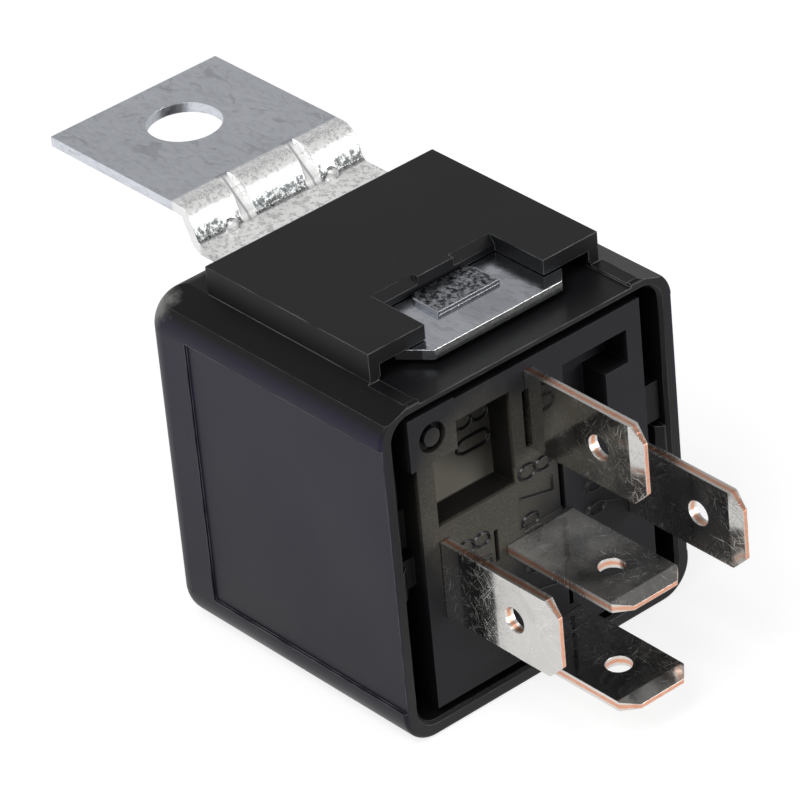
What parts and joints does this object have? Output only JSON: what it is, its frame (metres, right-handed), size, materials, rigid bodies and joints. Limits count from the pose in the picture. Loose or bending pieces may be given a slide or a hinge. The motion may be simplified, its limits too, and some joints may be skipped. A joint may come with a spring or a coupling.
{
  "type": "automotive relay",
  "caption": "Plug-in automotive changeover relay in a black moulded cover, with tinned blade terminals and a slide-in zinc-plated mounting bracket latched in a pocket.",
  "frame": {"origin": "middle of the flat resting face, which is the side opposite the bracket; half way along the cover, on its middle plane", "axes": "+X the way the blades point, +Z from the resting face to the bracket side, +Y across, towards the 86 blade"},
  "size_m": [0.0544, 0.0276, 0.0313],
  "materials": {
    "cover_plastic": "satin black moulded plastic",
    "base_plastic": "satin black, grained by the mould",
    "zinc_steel": "zinc-plated sheet steel",
    "tinned_blade": "tin-plated copper alloy, bare copper colour at the stamped edges",
    "soft_iron": "plated soft iron",
    "bobbin_plastic": "dark moulded plastic",
    "magnet_wire": "enamelled copper wire",
    "spring_bronze": "spring bronze strip",
    "contact_silver": "silver alloy",
    "rivet_steel": "plated rivets"
  },
  "bodies": {
    "housing": {"cover": "cover_plastic", "base_plate": "base_plastic", "mounting_bracket": "zinc_steel", "terminal_30": "tinned_blade", "terminal_85": "tinned_blade", "terminal_86": "tinned_blade", "terminal_87": "tinned_blade", "terminal_87a": "tinned_blade", "yoke": "soft_iron", "core": "soft_iron", "bobbin": "bobbin_plastic", "coil_winding": "magnet_wire", "contact_spring": "spring_bronze", "no_contact": "contact_silver", "nc_contact": "contact_silver", "yoke_rivets": "rivet_steel", "coil_lead_85": "magnet_wire", "coil_lead_86": "magnet_wire"},
    "armature_group": {"armature": "soft_iron", "armature_rivets": "rivet_steel", "moving_contact": "contact_silver"}
  },
  "joints": [
    {"name": "armature_hinge", "type": "hinge", "parent": "housing", "child": "armature_group", "pos_m": [-0.0062, 0, 0.024], "axis": [0, -1, 0], "range_deg": [0, 3.4], "stiffness_Nm_per_rad": 0.05, "springref_deg": -3.44, "deforming": ["contact_spring"]}
  ]
}
